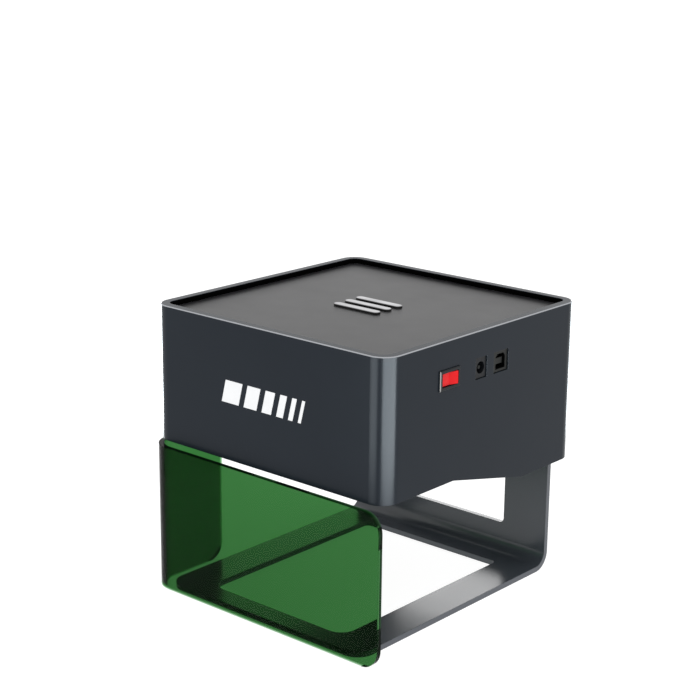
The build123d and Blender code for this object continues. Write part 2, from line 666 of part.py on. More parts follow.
# ---- fan on top of the laser ----
def fan_frame():
    low, floor, high = LASER_HIGH, LASER_HIGH + FAN_FLOOR, LASER_HIGH + FAN_HEIGHT
    frame = Pos(0, WORK_Y, low) * extrude(RectangleRounded(FAN_SIZE, FAN_SIZE, FAN_CORNER), FAN_HEIGHT)
    frame -= post(0, WORK_Y, low - 1, high + 1, FAN_BORE)
    hub = post(0, WORK_Y, low, floor, FAN_HUB)
    for index in range(3):
        strut = box(FAN_HUB - 1, FAN_BORE + 0.5, -FAN_STRUT / 2, FAN_STRUT / 2, low, floor)
        hub += Pos(0, WORK_Y, 0) * Rot(0, 0, 90 + 120 * index) * strut
    hub -= post(0, WORK_Y, low - 1, floor + 1, FAN_PIN + RUNNING_GAP)
    return frame + hub


def fan_rotor():
    low = LASER_HIGH + FAN_FLOOR + FAN_GAP
    high = LASER_HIGH + FAN_HEIGHT - FAN_GAP
    rotor = post(0, 0, low, high, FAN_HUB)
    reach = FAN_BORE - FAN_GAP
    blade = Box(reach - FAN_HUB + 1, FAN_BLADE_THICKNESS, FAN_BLADE_CHORD)
    blade = Pos((FAN_HUB - 1 + reach) / 2, 0, (low + high) / 2) * Rot(FAN_BLADE_ANGLE, 0, 0) * blade
    for index in range(FAN_BLADES):
        rotor += Rot(0, 0, 360 * index / FAN_BLADES) * blade
    rotor &= post(0, 0, low, high, reach)
    rotor += post(0, 0, LASER_HIGH + 0.2, low, FAN_PIN)
    return Pos(0, WORK_Y, 0) * rotor


# ---- electronics ----
def board_posts():
    x0, x1 = BOARD_LEFT + BOARD_HOLE_INSET, BOARD_RIGHT - BOARD_HOLE_INSET
    y0, y1 = BOARD_FRONT + BOARD_HOLE_INSET, BOARD_REAR - BOARD_HOLE_INSET
    return [(x0, y0), (x0, y1), (x1, y0), (x1, y1)]


def main_board():
    board = box(BOARD_LEFT, BOARD_RIGHT, BOARD_FRONT, BOARD_REAR, BOARD_LOW, BOARD_TOP)
    for x, y in board_posts():
        board -= post(x, y, BOARD_LOW - 1, BOARD_TOP + 1, BOARD_HOLE)
    return board


def board_standoffs():
    standoffs = []
    thread = BOARD_TOP + STANDOFF_THREAD
    for x, y in board_posts():
        standoff = post(x, y, BOARD_TOP, PANEL_LOW, STANDOFF_RADIUS)
        standoffs.append(standoff - post(x, y, BOARD_TOP - 1, thread, BOARD_SCREW + RUNNING_GAP))
    return group(standoffs)


def board_screws():
    screws = []
    for x, y in board_posts():
        shank = post(x, y, BOARD_LOW, BOARD_TOP + BOARD_SCREW_REACH, BOARD_SCREW)
        head = post(x, y, BOARD_LOW - BOARD_SCREW_HEAD_HEIGHT, BOARD_LOW, STANDOFF_RADIUS)
        screws.append(shank + head)
    return group(screws)


def controller_chip():
    left, front = CHIP_PLACE
    left += BOARD_LEFT
    return box(left, left + CHIP_SIDE, front, front + CHIP_SIDE, BOARD_TOP, BOARD_TOP + CHIP_HEIGHT)


def driver_chips():
    left, right = BOARD_LEFT + DRIVER_LEFT, BOARD_LEFT + DRIVER_LEFT + DRIVER_SIDE
    high = BOARD_TOP + DRIVER_HEIGHT
    return group([box(left, right, y, y + DRIVER_SIDE, BOARD_TOP, high) for y in DRIVER_Y])


def board_capacitors():
    x = BOARD_LEFT + CAPACITOR_LEFT
    high = BOARD_TOP + CAPACITOR_HEIGHT
    return group([post(x, y, BOARD_TOP, high, CAPACITOR_RADIUS) for y in CAPACITOR_Y])


def dc_jack():
    low = BOARD_TOP
    middle = low + JACK_HEIGHT / 2
    rear = SOCKET_FACE - JACK_LENGTH
    jack = box(rear, SOCKET_FACE, JACK_Y - JACK_WIDTH / 2, JACK_Y + JACK_WIDTH / 2, low, low + JACK_HEIGHT)
    jack -= bar_x(SOCKET_FACE - JACK_HOLE_DEPTH, SOCKET_FACE + 1, JACK_Y, middle, JACK_HOLE)
    return jack


def dc_jack_pin():
    middle = BOARD_TOP + JACK_HEIGHT / 2
    start = SOCKET_FACE - JACK_HOLE_DEPTH
    return bar_x(start, SOCKET_FACE - 1, JACK_Y, middle, JACK_PIN)


def usb_socket():
    """A square type-B socket: a metal can whose mouth has two cut upper corners."""
    low = BOARD_TOP
    half = USB_WIDTH / 2
    rear = SOCKET_FACE - USB_LENGTH
    can = box(rear, SOCKET_FACE, USB_Y - half, USB_Y + half, low, low + USB_HEIGHT)
    start, end = SOCKET_FACE - USB_DEPTH, SOCKET_FACE + 1
    mouth = half - USB_SIDE_SKIN
    hole = box(start, end, USB_Y - mouth, USB_Y + mouth, low + USB_SKIN, low + USB_HEIGHT - USB_SKIN)
    hole = chamfer(hole.edges().filter_by(Axis.X).group_by(Axis.Z)[-1], USB_MOUTH_CHAMFER)
    return can - hole


def usb_tongue():
    middle = BOARD_TOP + USB_HEIGHT / 2
    half_w, half_h = USB_TONGUE_WIDTH / 2, USB_TONGUE_HEIGHT / 2
    start = SOCKET_FACE - USB_DEPTH
    return box(start, SOCKET_FACE - 1, USB_Y - half_w, USB_Y + half_w, middle - half_h, middle + half_h)


# ---- power switch ----
def switch_opening():
    """Half width and half height of the hole that the rocker sits in."""
    return SWITCH_WIDTH / 2 - SWITCH_RIM, SWITCH_HEIGHT / 2 - SWITCH_RIM


def switch_block(x0, x1, half_w, half_h):
    """A block about the switch's centre line."""
    return box(x0, x1, SWITCH_Y - half_w, SWITCH_Y + half_w, SWITCH_Z - half_h, SWITCH_Z + half_h)


def switch_body():
    half_w, half_h = SWITCH_WIDTH / 2, SWITCH_HEIGHT / 2
    rim = switch_block(HALF_W, HALF_W + SWITCH_RIM_PROUD, half_w, half_h)
    rim = chamfer(rim.faces().sort_by(Axis.X)[-1].edges(), SWITCH_RIM_CHAMFER)
    body = switch_block(HALF_W - SWITCH_DEPTH, HALF_W, half_w - SWITCH_BODY_INSET, half_h - SWITCH_BODY_INSET)
    hole_w, hole_h = switch_opening()
    body = body + rim - switch_block(HALF_W - SWITCH_POCKET, HALF_W + 3, hole_w, hole_h)
    low, high = SWITCH_Z - hole_h - 0.7, SWITCH_Z + hole_h + 0.7
    return body - post(HALF_W - ROCKER_PIVOT, SWITCH_Y, low, high, ROCKER_PIN + RUNNING_GAP)


def power_rocker():
    """A shallow V: its two faces lean away from the pivot, which runs along Z."""
    hole_w, hole_h = switch_opening()
    half_w, half_h = hole_w - ROCKER_END_GAP, hole_h - ROCKER_GAP
    rise = half_w * sin(radians(ROCKER_TILT))
    outline = [
        (ROCKER_FACE, 0),
        (ROCKER_FACE + rise, half_w),
        (-0.6, half_w * 0.85),
        (-2.0, 0),
        (-0.6, -half_w * 0.85),
        (ROCKER_FACE + rise, -half_w),
    ]
    prism = extrude(make_face(Polyline(*outline, close=True)), half_h, both=True)
    pin = Cylinder(ROCKER_PIN, 2 * (hole_h + 0.5))
    return Pos(HALF_W - ROCKER_PIVOT, SWITCH_Y, SWITCH_Z) * Rot(0, 0, -ROCKER_TILT) * (prism + pin)


NODES = (
    housing_shell, top_panel, top_ribs, front_mark, stand, stand_screws, stand_nuts, shield,
    bottom_tray, tray_screws, front_rod_holders, rear_rod_holders, y_rods, y_motor, y_lead_screw,
    y_limit_switch, gantry_block_left, gantry_block_right, gantry_bushings, y_nut, x_rods, x_motor,
    x_lead_screw, x_carriage_block, carriage_bushings, x_nut, laser_heatsink, laser_barrel,
    laser_lens, focus_ring, fan_frame, fan_rotor, main_board, board_standoffs, board_screws,
    controller_chip, driver_chips, board_capacitors, dc_jack, dc_jack_pin, usb_socket, usb_tongue,
    switch_body, power_rocker,
)


def main():
    os.makedirs("parts", exist_ok=True)
    for make in NODES:
        placed = [TO_ORIGIN * solid for solid in make().solids()]
        node = placed[0] if len(placed) == 1 else Compound(placed)
        export_step(node, f"parts/{make.__name__}.step")


if __name__ == "__main__":
    main()
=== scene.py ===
"""Looks for the desktop laser cutter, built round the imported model."""
import json
import math

import bpy
from mathutils import Matrix, Vector


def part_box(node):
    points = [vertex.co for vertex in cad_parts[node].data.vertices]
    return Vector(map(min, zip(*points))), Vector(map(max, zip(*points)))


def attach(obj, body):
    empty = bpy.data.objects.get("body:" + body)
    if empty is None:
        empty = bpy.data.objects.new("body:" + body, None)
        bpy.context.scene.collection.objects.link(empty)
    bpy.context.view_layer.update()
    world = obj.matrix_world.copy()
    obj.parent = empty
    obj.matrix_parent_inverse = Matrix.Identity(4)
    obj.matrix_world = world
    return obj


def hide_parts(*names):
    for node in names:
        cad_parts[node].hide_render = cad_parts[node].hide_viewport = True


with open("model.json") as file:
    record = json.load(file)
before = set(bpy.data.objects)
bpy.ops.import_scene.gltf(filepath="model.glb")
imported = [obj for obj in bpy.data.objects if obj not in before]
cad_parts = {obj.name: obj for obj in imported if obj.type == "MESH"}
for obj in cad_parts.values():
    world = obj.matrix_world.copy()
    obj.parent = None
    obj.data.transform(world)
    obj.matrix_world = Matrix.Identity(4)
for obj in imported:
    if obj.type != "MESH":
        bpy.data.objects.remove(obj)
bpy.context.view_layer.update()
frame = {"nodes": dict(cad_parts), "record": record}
NODES = frame["nodes"]
MM = 0.001

# ---- lead screw threads ----
LEAD = 3.0 * MM
STARTS = 2
THREAD_DEPTH = 0.35 * MM
THREAD_SLOPE = 6.5           # how fast a flank rises, in depths per pitch
THREAD_PEAK = 2.4            # height of the untrimmed flanks, which sets the width of the crest
THREAD_SIDES = 28
THREAD_STEP = 0.2 * MM       # between rings of points along the screw
PLAIN_END = 3.0 * MM

# ---- seal round the recessed panel ----
SEAL_PROUD = 0.5 * MM
SEAL_BACK = 0.25 * MM        # from the panel's edge to the wall of the recess
SEAL_RADIUS = 5.0 * MM
SEAL_SUNK = 0.2 * MM         # how far it starts below the panel's top
SEAL_TOP_GAP = 0.1 * MM      # from its top to the top of the rim
# How far it stands out and the share of its height, from the bottom up and over to the rim.
SEAL_OUTLINE = (
    (SEAL_PROUD, 0.0), (SEAL_PROUD, 0.7), (SEAL_PROUD - 0.2 * MM, 0.9), (0.05 * MM, 1.0), (-0.2 * MM, 1.0))

# ---- shield's edges, painted dark as shade ----
SHIELD_END = 10.5 * MM
SHIELD_LIT = 1.3 * MM        # how far the front of the end edge stays clear of the painted shade

# ---- resistors on the board, placed by shares of its size ----
RESISTOR_LENGTH = 2.0 * MM
RESISTOR_DEPTH = 1.2 * MM
RESISTOR_HEIGHT = 0.6 * MM
RESISTOR_CAP = 0.4 * MM      # length of each tinned end
RESISTOR_SINK = 0.03 * MM    # how far it reaches into the board
RESISTOR_ROWS = 6
RESISTOR_COLUMNS = 5
RESISTOR_START = (0.20, 0.16)
RESISTOR_PITCH = 0.13
RESISTOR_STAGGER = 0.03      # shift of every other row
BODY_EDGE = 0.05 * MM
CAP_EDGE = 0.08 * MM

# ---- light: lengths in metres, unless a comment says otherwise ----
WORLD_STRENGTH = 1.03
FLOOR_GLOW = 0.91
FLOOR_HALF = 6.0
TOP_HEIGHT = 1.2
TOP_SIZE = 1.0
TOP_WATTS = 4
TARGET_HEIGHT = 0.6          # in housing widths above the floor
CORNER = 0.010               # the housing's corner radius
STRIP_HEIGHT = 0.15          # lower than the rim, so that its flat top never mirrors a strip
STRIP_LIFT = 0.002
STRIP_DISTANCE = 0.28        # from the middle of the corner
STRIP_TINT = (0.86, 0.95, 1.0)
# Name, corner (1 front right, -1 rear left), start and end angle, radiance.
STRIPS = (
    ("side_strip", 1, 36, 111, 25),
    ("front_strip", 1, -29, 8, 9.5),
    ("far_side_strip", -1, 216, 291, 16),
    ("far_back_strip", -1, 151, 188, 6),
)
BACK_PLACE = (-2.2, 3.0, 1.0)    # in housing widths, as is its size
BACK_SIZE = (3, 2)
BACK_RADIANCE = 3.0

# ---- surfaces: each pair of tones is a darker and a lighter one ----
HOUSING_TONES = ((0.010, 0.014, 0.020), (0.013, 0.018, 0.025))
# Bare metal on the rim's sloped cut, light enough to also paint a highlight there.
BARE_METAL_AND_HIGHLIGHT = (0.33, 0.34, 0.36)
STAND_TONES = ((0.046, 0.054, 0.065), (0.053, 0.061, 0.073))
# Painted highlight on the stand's cut sides facing left and right.
STAND_SIDE_HIGHLIGHT = (0.066, 0.074, 0.090)
ACRYLIC_TINT = (0.0, 0.45, 0.03, 1)
ACRYLIC_DENSITY = 863        # how strongly a metre of it absorbs
# Noise scales: how fine the grain of a coat, of moulded plastic and of marks in metal is.
COAT_GRAIN = 2400
MOULD_GRAIN = 2600
MARK_GRAIN = 900

# ---- camera: distances in housing widths from the middle of the housing, on the floor ----
CAMERA_AT = (3.4978, -4.1255, 2.3144)
CAMERA_AZIMUTH = 40.95
CAMERA_ELEVATION = 15.55
CAMERA_ROLL = 0.62
LENS = 86.46
SENSOR = 36.0
SHIFT_X = 0.0017
SHIFT_Y = -0.0009


def housing_base():
    """The point on the floor under the middle of the housing, and the housing's width."""
    low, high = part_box("housing_shell")
    return Vector(((low.x + high.x) / 2, (low.y + high.y) / 2, 0)), high.x - low.x


# ---- node helpers ----
class Tree:
    """A material's node tree, with short calls to add and join nodes."""

    def __init__(self, name):
        self.material = bpy.data.materials.new(name)
        self.material.use_nodes = True
        self.nodes = self.material.node_tree.nodes
        self.links = self.material.node_tree.links
        self.nodes.clear()
        self.output = self.nodes.new("ShaderNodeOutputMaterial")
        self.shader = self.nodes.new("ShaderNodeBsdfPrincipled")
        self.links.new(self.shader.outputs["BSDF"], self.output.inputs["Surface"])
        coordinates = self.nodes.new("ShaderNodeTexCoord")
        self.place = coordinates.outputs["Object"]
        split = self.nodes.new("ShaderNodeSeparateXYZ")
        self.links.new(coordinates.outputs["Normal"], split.inputs[0])
        self.facing = split.outputs

    def set(self, **values):
        """Fixed values on the shader's own sockets."""
        for key, value in values.items():
            self.shader.inputs[key.replace("_", " ")].default_value = value
        return self

    def noise(self, scale, detail=3.0, rough=0.5):
        node = self.nodes.new("ShaderNodeTexNoise")
        node.inputs["Scale"].default_value = scale
        node.inputs["Detail"].default_value = detail
        node.inputs["Roughness"].default_value = rough
        self.links.new(self.place, node.inputs["Vector"])
        return node.outputs["Fac"]

    def spread(self, factor, low, high, start=0.0, end=1.0):
        """A value that runs from low to high as the factor runs from start to end."""
        node = self.nodes.new("ShaderNodeMapRange")
        limits = {"From Min": start, "From Max": end, "To Min": low, "To Max": high}
        for key, value in limits.items():
            node.inputs[key].default_value = value
        self.links.new(factor, node.inputs["Value"])
        return node.outputs["Result"]

    def blend(self, factor, first, second):
        """A colour between two, by the factor."""
        node = self.nodes.new("ShaderNodeMix")
        node.data_type = "RGBA"
        self.links.new(factor, node.inputs["Factor"])
        for key, value in ((6, first), (7, second)):
            if isinstance(value, tuple):
                node.inputs[key].default_value = (*value, 1.0)
            else:
                self.links.new(value, node.inputs[key])
        return node.outputs[2]

    def bump(self, height, strength, distance, edge=0.0):
        """Fine relief. With an edge radius, sharp edges also catch the light as if rounded."""
        node = self.nodes.new("ShaderNodeBump")
        node.inputs["Strength"].default_value = strength
        node.inputs["Distance"].default_value = distance
        self.links.new(height, node.inputs["Height"])
        if edge:
            rounded = self.nodes.new("ShaderNodeBevel")
            rounded.inputs["Radius"].default_value = edge
            self.links.new(rounded.outputs["Normal"], node.inputs["Normal"])
        self.links.new(node.outputs["Normal"], self.shader.inputs["Normal"])

    def math(self, operation, first, second=0.0):
        node = self.nodes.new("ShaderNodeMath")
        node.operation = operation
        for socket, value in zip(node.inputs, (first, second)):
            if isinstance(value, float):
                socket.default_value = value
            else:
                self.links.new(value, socket)
        return node.outputs[0]

    def wave(self, scale, distortion):
        """Wavy bands across X."""
        node = self.nodes.new("ShaderNodeTexWave")
        node.bands_direction = "X"
        node.inputs["Scale"].default_value = scale
        node.inputs["Distortion"].default_value = distortion
        self.links.new(self.place, node.inputs["Vector"])
        return node.outputs["Fac"]

    def colour(self, socket):
        self.links.new(socket, self.shader.inputs["Base Color"])

    def roughness(self, socket):
        self.links.new(socket, self.shader.inputs["Roughness"])


# ---- materials ----
def coat(name, tones, rough, grain, depth, ior, edge=0.3 * MM):
    """A baked coat on metal: fine grain, faint clouding and a little change in gloss.
    Also gives back the coat's colour, for a material that adds to it."""
    tree = Tree(name).set(IOR=ior)
    clouded = tree.blend(tree.noise(18, 3), *tones)
    tree.colour(clouded)
    tree.roughness(tree.spread(tree.noise(60, 4), rough - 0.03, rough + 0.03))
    tree.bump(tree.noise(grain, 2, 0.6), 0.12, depth, edge)
    return tree, clouded


def housing_coat():
    """The coat, with the sloped cut round the rim left bare and coloured light, a colour that also paints
    a highlight along the rim.
    """
    tree, clouded = coat("housing_coat", HOUSING_TONES, 0.24, COAT_GRAIN, 0.03 * MM, 1.2)
    up = tree.facing["Z"]
    slope = tree.math("MULTIPLY", tree.spread(up, 0, 1, 0.35, 0.55), tree.spread(up, 1, 0, 0.86, 0.97))
    # Bare cut round the rim, its light colour also a painted highlight.
    tree.colour(tree.blend(slope, clouded, BARE_METAL_AND_HIGHLIGHT))
    return tree.material


def stand_coat():
    """The coat on the sheet, its cut sides facing left and right painted a little lighter as a highlight.
    """
    tree, clouded = coat("stand_coat", STAND_TONES, 0.24, COAT_GRAIN, 0.02 * MM, 1.5, 0.4 * MM)
    # Cut sides facing left and right get a painted highlight.
    side = tree.spread(tree.math("ABSOLUTE", tree.facing["X"]), 0, 1, 0.8, 0.95)
    tree.colour(tree.blend(side, clouded, STAND_SIDE_HIGHLIGHT))
    return tree.material


def panel_black():
    """The same kind of coat in black, for the top panel and the tray."""
    tones = ((0.010, 0.010, 0.011), (0.014, 0.014, 0.015))
    return coat("panel_black", tones, 0.30, 3000, 0.03 * MM, 1.31)[0].material


def plastic(name, dark, light, rough, ior=1.46):
    """Moulded plastic with a fine grain."""
    tree = Tree(name).set(IOR=ior)
    tree.colour(tree.blend(tree.noise(120, 3), dark, light))
    tree.roughness(tree.spread(tree.noise(300, 3), rough - 0.05, rough + 0.05))
    tree.bump(tree.noise(MOULD_GRAIN, 3, 0.6), 0.25, 0.02 * MM, 0.2 * MM)
    return tree.material


def switch_black():
    """Black plastic. The bezel's forward slope is coloured light, in place of a highlight."""
    tree = Tree("switch_black").set(IOR=1.28)
    slope = tree.spread(tree.facing["Y"], 1, 0, -0.6, -0.4)
    level = tree.math("MULTIPLY", slope, tree.spread(tree.facing["X"], 0, 1, 0.3, 0.5))
    black = tree.blend(tree.noise(120, 3), (0.006, 0.008, 0.010), (0.009, 0.011, 0.014))
    tree.colour(tree.blend(level, black, (0.42, 0.42, 0.41)))
    tree.roughness(tree.spread(tree.noise(300, 3), 0.36, 0.46))
    tree.bump(tree.noise(MOULD_GRAIN, 3, 0.6), 0.25, 0.02 * MM, 0.2 * MM)
    return tree.material


def rib_gloss():
    """Glossy ribs, light on top as a painted highlight and black down the sides."""
    tree = Tree("rib_gloss").set(IOR=1.4)
    top = tree.spread(tree.facing["Z"], 0, 1, 0.55, 0.95)
    # Painted highlight on the upward tops.
    top_highlight = tree.blend(tree.noise(90, 3), (0.24, 0.24, 0.25), (0.58, 0.58, 0.59))
    tree.colour(tree.blend(top, (0.003, 0.003, 0.003), top_highlight))
    tree.roughness(tree.spread(tree.noise(160, 3), 0.10, 0.24))
    tree.bump(tree.noise(700, 3), 0.2, 0.02 * MM)
    return tree.material


def metal(name, colour, rough):
    """Bare metal with fine marks."""
    tree = Tree(name).set(Metallic=1.0)
    marks = tree.noise(MARK_GRAIN, 4, 0.6)
    darker = tuple(c * 0.82 for c in colour)
    tree.colour(tree.blend(marks, darker, colour))
    tree.roughness(tree.spread(marks, rough - 0.06, rough + 0.08))
    tree.bump(marks, 0.2, 0.01 * MM, 0.2 * MM)
    return tree.material


def acrylic(name):
    """Clear green sheet: its colour comes from what the depth of it absorbs.
    Its cut upper and end edges are coloured near black, a painted shade."""
    tree = Tree(name).set(IOR=1.12)
    low, high = (NODES["shield"].matrix_world.inverted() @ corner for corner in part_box("shield"))
    place = tree.nodes.new("ShaderNodeSeparateXYZ")
    tree.links.new(tree.place, place.inputs[0])
    upper = tree.spread(tree.facing["Z"], 0, 1, 0.25, 0.5)
    inner = tree.math("GREATER_THAN", place.outputs["Y"], low.y + SHIELD_LIT)
    rightward = tree.math("MULTIPLY", inner, tree.spread(tree.facing["X"], 0, 1, 0.25, 0.5))
    right_end = tree.math("GREATER_THAN", place.outputs["X"], high.x - SHIELD_END)
    right = tree.math("MULTIPLY", right_end, rightward)
    backward = tree.spread(tree.facing["Y"], 0, 1, 0.25, 0.5)
    back_end = tree.math("GREATER_THAN", place.outputs["Y"], high.y - SHIELD_END)
    back = tree.math("MULTIPLY", back_end, backward)
    # Upper and end edges painted near black as shade.
    painted_dark_edges = tree.math("MAXIMUM", upper, tree.math("MAXIMUM", right, back))
    tree.colour(tree.blend(painted_dark_edges, (1.0, 1.0, 1.0), (0.002, 0.008, 0.003)))
    tree.shader.inputs["Transmission Weight"].default_value = 1.0
    tree.roughness(tree.spread(tree.noise(40, 3), 0.0, 0.02))
    tree.bump(tree.noise(14, 2), 0.05, 0.1 * MM)
    volume = tree.nodes.new("ShaderNodeVolumeAbsorption")
    volume.inputs["Color"].default_value = ACRYLIC_TINT
    volume.inputs["Density"].default_value = ACRYLIC_DENSITY
    tree.links.new(volume.outputs["Volume"], tree.output.inputs["Volume"])
    return tree.material


def glass(name):
    """Clear glass with a faint blue tint."""
    tree = Tree(name).set(IOR=1.5)
    tree.shader.inputs["Base Color"].default_value = (0.75, 0.85, 1.0, 1)
    tree.shader.inputs["Transmission Weight"].default_value = 1.0
    tree.roughness(tree.spread(tree.noise(80, 2), 0.0, 0.04))
    return tree.material


def board_mask(name):
    """Solder mask with the copper tracks under it just showing."""
    tree = Tree(name).set(IOR=1.5)
    tracks = tree.wave(110, 3)
    tree.colour(tree.blend(tracks, (0.004, 0.055, 0.025), (0.01, 0.10, 0.045)))
    tree.roughness(tree.spread(tree.noise(200), 0.25, 0.4))
    tree.bump(tracks, 0.2, 0.04 * MM)
    return tree.material


def materials():
    """Every material by name."""
    mould = ((0.006, 0.007, 0.009), (0.009, 0.010, 0.012))
    rubber = ((0.0006, 0.0006, 0.0006), (0.0012, 0.0012, 0.0012))
    return {
        "housing_coat": housing_coat(),
        "panel_black": panel_black(),
        "rib_gloss": rib_gloss(),
        "mark_white": plastic("mark_white", (0.80, 0.81, 0.82), (0.88, 0.89, 0.90), 0.35),
        "stand_coat": stand_coat(),
        "green_acrylic": acrylic("green_acrylic"),
        "black_screw": metal("black_screw", (0.05, 0.05, 0.052), 0.35),
        "zinc": metal("zinc", (0.62, 0.62, 0.58), 0.35),
        "rod_steel": metal("rod_steel", (0.78, 0.78, 0.79), 0.14),
        "brass": metal("brass", (0.80, 0.58, 0.28), 0.25),
        "bronze": metal("bronze", (0.55, 0.36, 0.20), 0.45),
        "black_plastic": plastic("black_plastic", *mould, 0.42, ior=1.28),
        "motor_steel": metal("motor_steel", (0.62, 0.63, 0.64), 0.3),
        "black_aluminium": metal("black_aluminium", (0.06, 0.06, 0.065), 0.35),
        "board_green": board_mask("board_green"),
        "capacitor_sleeve": plastic("capacitor_sleeve", (0.01, 0.015, 0.05), (0.015, 0.02, 0.06), 0.3),
        "lens_glass": glass("lens_glass"),
        "red_plastic": plastic(
            "red_plastic", (0.70, 0.010, 0.013), (0.80, 0.014, 0.017), 0.14, ior=1.22),
        "black_rubber": plastic("black_rubber", *rubber, 0.8, ior=1.05),
        "switch_black": switch_black(),
        # Dark metal for the sockets and the jack's pin, its near-black colour also a painted shade inside
        # their openings.
        "socket_shell": metal("socket_shell", (0.030, 0.031, 0.030), 0.42),
        "greased_steel": metal("greased_steel", (0.46, 0.46, 0.45), 0.26),
    }


def own_material(node, slot):
    """The material of a node: its slot's, or one of its own for a few nodes."""
    return {
        "switch_body": "switch_black",
        # Sockets and the jack's pin: near-black metal, partly painted shade inside their openings.
        "usb_socket": "socket_shell",
        "dc_jack_pin": "socket_shell",
        "usb_tongue": "socket_shell",
    }.get(node, slot)


def rounded_loop(half_x, half_y, radius, steps=8):
    """Points anticlockwise round a rounded rectangle."""
    loop = []
    for sx, sy, start in ((1, 1, 0), (-1, 1, 90), (-1, -1, 180), (1, -1, 270)):
        for step in range(steps + 1):
            angle = math.radians(start + 90 * step / steps)
            x = sx * (half_x - radius) + radius * math.cos(angle)
            y = sy * (half_y - radius) + radius * math.sin(angle)
            loop.append((x, y))
    return loop


def add_piece(name, vertices, faces, material, body, smooth=False):
    """A mesh of its own that moves with a body."""
    mesh = bpy.data.meshes.new(name)
    mesh.from_pydata(vertices, [], faces)
    mesh.update()
    mesh.polygons.foreach_set("use_smooth", [smooth] * len(mesh.polygons))
    mesh.materials.append(material)
    piece = bpy.data.objects.new(name, mesh)
    bpy.context.scene.collection.objects.link(piece)
    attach(piece, body)
    return piece


def add_recess_seal(made):
    """A black seal round the inside of the rim, above the top panel, its top edge rounded."""
    low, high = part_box("top_panel")
    rim_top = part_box("housing_shell")[1].z
    middle = (low + high) / 2
    half_x, half_y = (high.x - low.x) / 2, (high.y - low.y) / 2
    rings = []
    for proud, rise in SEAL_OUTLINE:
        reach = SEAL_BACK - proud
        z = high.z - SEAL_SUNK + rise * (rim_top - high.z - SEAL_TOP_GAP)
        loop = rounded_loop(half_x + reach, half_y + reach, SEAL_RADIUS + reach)
        rings.append([(middle.x + x, middle.y + y, z) for x, y in loop])
    count = len(rings[0])
    vertices = [point for ring in rings for point in ring]
    faces = []
    for level in range(len(rings) - 1):
        for index in range(count):
            following = (index + 1) % count
            a, b = level * count, (level + 1) * count
            faces.append((a + following, a + index, b + index, b + following))
    seal = add_piece("recess_seal", vertices, faces, made["black_rubber"], "root", True)


def thread_rise(turn):
    """How far the flank stands up, from 0 to 1, at a share of the thread's pitch."""
    share = turn % 1.0
    return max(0.0, min(1.0, THREAD_PEAK - abs(share - 0.5) * THREAD_SLOPE))


def add_lead_screw(node, body, along, made):
    """A two-start trapezoidal thread in place of the plain screw, with plain ends."""
    low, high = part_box(node)
    middle = (low + high) / 2
    length = high[along] - low[along]
    across = (along + 1) % 3
    up = (along + 2) % 3
    radius = (high[up] - low[up]) / 2
    rows = int(length / THREAD_STEP)
    vertices, faces = [], []
    for row in range(rows + 1):
        reach = length * row / rows
        cut = THREAD_DEPTH if PLAIN_END < reach < length - PLAIN_END else 0.0
        for side in range(THREAD_SIDES):
            turn = side / THREAD_SIDES
            rise = thread_rise((reach / LEAD - turn) * STARTS)
            size = radius - cut * (1.0 - rise)
            point = [0.0, 0.0, 0.0]
            point[along] = low[along] + reach
            point[across] = middle[across] + size * math.cos(2 * math.pi * turn)
            point[up] = middle[up] + size * math.sin(2 * math.pi * turn)
            vertices.append(tuple(point))
    for row in range(rows):
        for side in range(THREAD_SIDES):
            following = (side + 1) % THREAD_SIDES
            a, b = row * THREAD_SIDES, (row + 1) * THREAD_SIDES
            faces.append((a + side, a + following, b + following, b + side))
    faces.append(tuple(reversed(range(THREAD_SIDES))))
    faces.append(tuple(rows * THREAD_SIDES + side for side in range(THREAD_SIDES)))
    piece = add_piece(node + "_thread", vertices, faces, made["greased_steel"], body, True)
    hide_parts(node)


def block_mesh(blocks):
    """Vertices and faces of separate blocks, each given by its two corners."""
    vertices, faces = [], []
    for (x0, y0, z0), (x1, y1, z1) in blocks:
        start = len(vertices)
        vertices += [(x, y, z) for z in (z0, z1) for y in (y0, y1) for x in (x0, x1)]
        quads = ((0, 2, 3, 1), (4, 5, 7, 6), (0, 1, 5, 4), (2, 6, 7, 3), (0, 4, 6, 2), (1, 3, 7, 5))
        faces += [tuple(start + corner for corner in quad) for quad in quads]
    return vertices, faces


def bevelled(piece, width):
    """The same piece with rounded edges."""
    modifier = piece.modifiers.new("edges", "BEVEL")
    modifier.width = width
    modifier.segments = 2
    return piece


def add_board_parts(made):
    """Small chip resistors with tinned ends, in rows on the underside of the board."""
    low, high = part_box("main_board")
    bodies, ends = [], []
    for row in range(RESISTOR_ROWS):
        for column in range(RESISTOR_COLUMNS):
            along = RESISTOR_START[0] + RESISTOR_PITCH * column + RESISTOR_STAGGER * (row % 2)
            x = low.x + (high.x - low.x) * along
            y = low.y + (high.y - low.y) * (RESISTOR_START[1] + RESISTOR_PITCH * row)
            start, end = x + RESISTOR_CAP, x + RESISTOR_LENGTH - RESISTOR_CAP
            bottom, top = low.z - RESISTOR_HEIGHT, low.z + RESISTOR_SINK
            back = y + RESISTOR_DEPTH
            bodies.append(((start, y, bottom), (end, back, top)))
            ends.append(((x, y, bottom), (start, back, top)))
            ends.append(((end, y, bottom), (x + RESISTOR_LENGTH, back, top)))
    middles = add_piece("resistor_bodies", *block_mesh(bodies), made["black_plastic"], "root")
    bevelled(middles, BODY_EDGE)
    tinned = add_piece("resistor_ends", *block_mesh(ends), made["zinc"], "root")
    bevelled(tinned, CAP_EDGE)


def dress_nodes(made):
    """Gives every CAD node the material of its slot."""
    for entry in frame["record"]["subparts"]:
        node = NODES[entry["node"]]
        node.data.materials.clear()
        node.data.materials.append(made[own_material(entry["node"], entry["material_slot"])])


